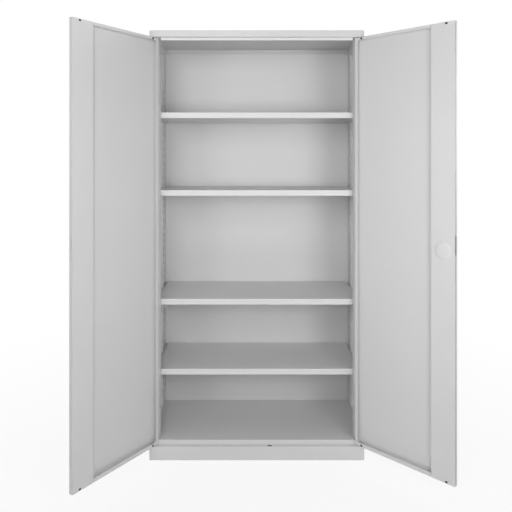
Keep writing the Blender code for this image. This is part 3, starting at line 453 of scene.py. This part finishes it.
def rod_keeper():
    """Black moulded collar in the plinth's ledge, which the lower rod shoots into. Its black brim is also
    sized to give the dark spot of the rod's hole, as painted shade.
    """
    brim, front_brim, rear_brim, brim_height, lift = 2.5 * MM, 2 * MM, 4.5 * MM, 0.5 * MM, 0.05 * MM
    play, wall, liner_depth, through = 0.3 * MM, 0.4 * MM, 3 * MM, 5 * MM
    shut = closing_turn("right_door_hinge")
    points = [shut @ point.co for point in NODES["lower_rod"].data.vertices]
    foot = min(point.z for point in points)
    low, high = span([point for point in points if point.z < foot + MM])
    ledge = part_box("plinth_front")[1][2]
    # The black brim is partly the collar's own and partly painted shade of the rod's hole
    piece = block("rod_keeper", (low.x - brim, low.y - front_brim, ledge + lift),
                  (high.x + brim, high.y + rear_brim, ledge + brim_height))
    outside = play + wall
    cut(piece, block("liner", (low.x - outside, low.y - outside, ledge - liner_depth),
                     (high.x + outside, high.y + outside, ledge + brim_height / 2)), "UNION")
    cut(piece, block("passage", (low.x - play, low.y - play, ledge - through),
                     (high.x + play, high.y + play, ledge + through)))
    bevelled(piece, 0.15 * MM, 2)
    settle(piece, "body", NYLON)


def left_strike():
    """Moulded keeper that lines the slot in the left door's edge, where the latch tongue enters."""
    flush, depth, sheet, sheet_room = 0.1 * MM, 4 * MM, 0.8 * MM, 0.3 * MM
    side_room, foot_room, head_room = 0.6 * MM, 10 * MM, 55.8 * MM
    rim, end_rim, catch_step, catch_end = 2.2 * MM, 0.8 * MM, MM, 3 * MM
    shut_right, shut_left = closing_turn("right_door_hinge"), closing_turn("left_door_hinge")
    tongue_low, tongue_high = span([shut_right @ point.co for point in NODES["latch_tongue"].data.vertices])
    lock = shut_right @ Vector(JOINTS["handle_turn"]["pos_m"])
    edge = max((shut_left @ point.co).x for point in NODES["left_door_shell"].data.vertices)
    near, far = edge - flush, edge - depth
    low = Vector((far - MM, tongue_low.y - side_room, lock.z - foot_room))
    high = Vector((near + MM, tongue_high.y + side_room, lock.z + head_room))
    piece = block("left_strike", (far, low.y - rim, low.z - end_rim),
                  (near, high.y + rim, high.z + end_rim))
    catch = block("catch", (far, low.y - rim - catch_step, low.z - catch_end),
                  (near - sheet - sheet_room, high.y + rim + catch_step, high.z + catch_end))
    cut(piece, catch, "UNION")
    cut(piece, block("opening", low, high))
    bevelled(piece, 0.2 * MM, 2)
    piece.data.transform(shut_left.inverted())
    settle(piece, "left_door", CAP_PLASTIC)


def floor_corners():
    """Folded corner on each end of the floor's front lip, which closes the notch beside the post."""
    gap, door_room, sheet = 0.3 * MM, 0.7 * MM, 0.8 * MM
    lip_depth, post_front_depth, beyond_lip = 20 * MM, 12 * MM, 5 * MM
    low, high = (Vector(corner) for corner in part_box("floor_panel"))
    panel = [point.co for point in NODES["floor_panel"].data.vertices]
    post = [point.co for point in NODES["right_side_panel"].data.vertices]
    lip_end = max(point.x for point in panel if point.y < low.y + lip_depth)
    notch_end = min(point.y for point in panel if point.x > lip_end + beyond_lip)
    post_edge = min(point.x for point in post if point.y < low.y + post_front_depth)
    post_tip = min(point.x for point in post if point.y < notch_end)
    inner, outer, outer_rear = lip_end + gap, post_edge - door_room, post_tip - gap
    for hand, side in (("left", -1), ("right", 1)):
        near_x, far_x = sorted((side * inner, side * outer))
        piece = block("floor_corner_" + hand, (near_x, low.y, low.z + gap),
                      (far_x, notch_end - gap, high.z - gap))
        edit(piece)
        object_mode()
        for point in piece.data.vertices:
            if point.co.y > low.y + sheet and abs(point.co.x) > inner + sheet:
                point.co.x = side * outer_rear
        pick(piece, lambda face: (face.normal.z < -SIDE_FACING or face.normal.y > SIDE_FACING
                                  or face.normal.x * side < -SIDE_FACING))
        bpy.ops.mesh.delete(type="FACE")
        object_mode()
        apply_modifier(piece, "SOLIDIFY", thickness=sheet, offset=-1)
        bevelled(piece, 0.3 * MM, 2)
        settle(piece, "body", COAT)


def camera():
    """Stand the camera where the photograph was taken, level, with a lens shift."""
    data = bpy.data.cameras.new("photo_camera")
    data.sensor_width = SENSOR_WIDTH
    data.lens = FOCAL_PIXELS / IMAGE * SENSOR_WIDTH
    data.shift_x = (IMAGE / 2 - PRINCIPAL_POINT[0]) / IMAGE
    data.shift_y = (PRINCIPAL_POINT[1] - IMAGE / 2) / IMAGE
    piece = bpy.data.objects.new("photo_camera", data)
    piece.location = (0, FRONT_Y - CAMERA_DISTANCE, CAMERA_HEIGHT)
    piece.rotation_euler = (math.radians(90), 0, 0)
    bpy.context.scene.collection.objects.link(piece)
    bpy.context.scene.camera = piece


def soft_box(name, place, side, power):
    """Hang a square soft box that looks at the cupboard."""
    data = bpy.data.lights.new(name, "AREA")
    data.shape = "SQUARE"
    data.size = side
    data.energy = power
    piece = bpy.data.objects.new(name, data)
    piece.location = place
    aim = Vector(LIGHT_TARGET) - Vector(place)
    piece.rotation_euler = aim.to_track_quat("-Z", "Y").to_euler()
    bpy.context.scene.collection.objects.link(piece)


def seen_directly(material):
    """Give 1 to rays from the camera, also by way of a mirror or glass, and 0 to all others."""
    path = add(material, "ShaderNodeLightPath")
    seen = add(material, "ShaderNodeMath", {"operation": "MAXIMUM"},
               {0: path.outputs["Is Camera Ray"], 1: path.outputs["Is Glossy Ray"]})
    return add(material, "ShaderNodeMath", {"operation": "MAXIMUM"},
               {0: seen, 1: path.outputs["Is Transmission Ray"]})


def background():
    """White backdrop that lights the room only a little."""
    world = bpy.data.worlds.new("studio_world")
    bpy.context.scene.world = world
    world.use_nodes = True
    backdrop = world.node_tree.nodes["Background"]
    backdrop.inputs["Color"].default_value = colour("#FFFFFF")
    level = add(world, "ShaderNodeMapRange", {"To Min": ROOM_LIGHT, "To Max": 1.0},
                {"Value": seen_directly(world)})
    link(world, backdrop, {"Strength": level})


def studio_floor():
    """Pale matt floor, which shows the cupboard's shadow and fades into the white backdrop."""
    bpy.ops.object.select_all(action="DESELECT")
    bpy.ops.mesh.primitive_plane_add(size=FLOOR_SIDE, location=(0, 0, -FLOOR_DROP))
    floor = bpy.context.object
    floor.name = "studio_floor"
    bpy.ops.object.transform_apply(location=True, rotation=True, scale=True)
    paint, surface = new_material("studio_floor_paint", Roughness=0.9, Base_Color=colour("#E6E6E6"))
    glow = add(paint, "ShaderNodeEmission", {"Color": colour("#FFFFFF"), "Strength": 1.0})
    place = add(paint, "ShaderNodeTexCoord")
    distance = add(paint, "ShaderNodeVectorMath", {"operation": "LENGTH"}, {0: place.outputs["Object"]})
    white = add(paint, "ShaderNodeMapRange",
                {"From Min": FLOOR_NEAR, "From Max": FLOOR_FAR, "To Min": FLOOR_NEAR_WHITE, "To Max": 1.0},
                {"Value": distance.outputs["Value"]})
    share = add(paint, "ShaderNodeMath", {"operation": "MULTIPLY"}, {0: seen_directly(paint), 1: white})
    mix = add(paint, "ShaderNodeMixShader", {}, {0: share, 1: surface, 2: glow})
    link(paint, paint.node_tree.nodes["Material Output"], {"Surface": mix})
    floor.data.materials.append(paint)


camera()
dress_frame()
lock_cap()
rosette()
turn_handle()
key_cylinder()
rod_keeper()
left_strike()
floor_corners()
background()
studio_floor()
for box in SOFT_BOXES:
    soft_box(*box)
bpy.context.scene.view_settings.view_transform = "Standard"
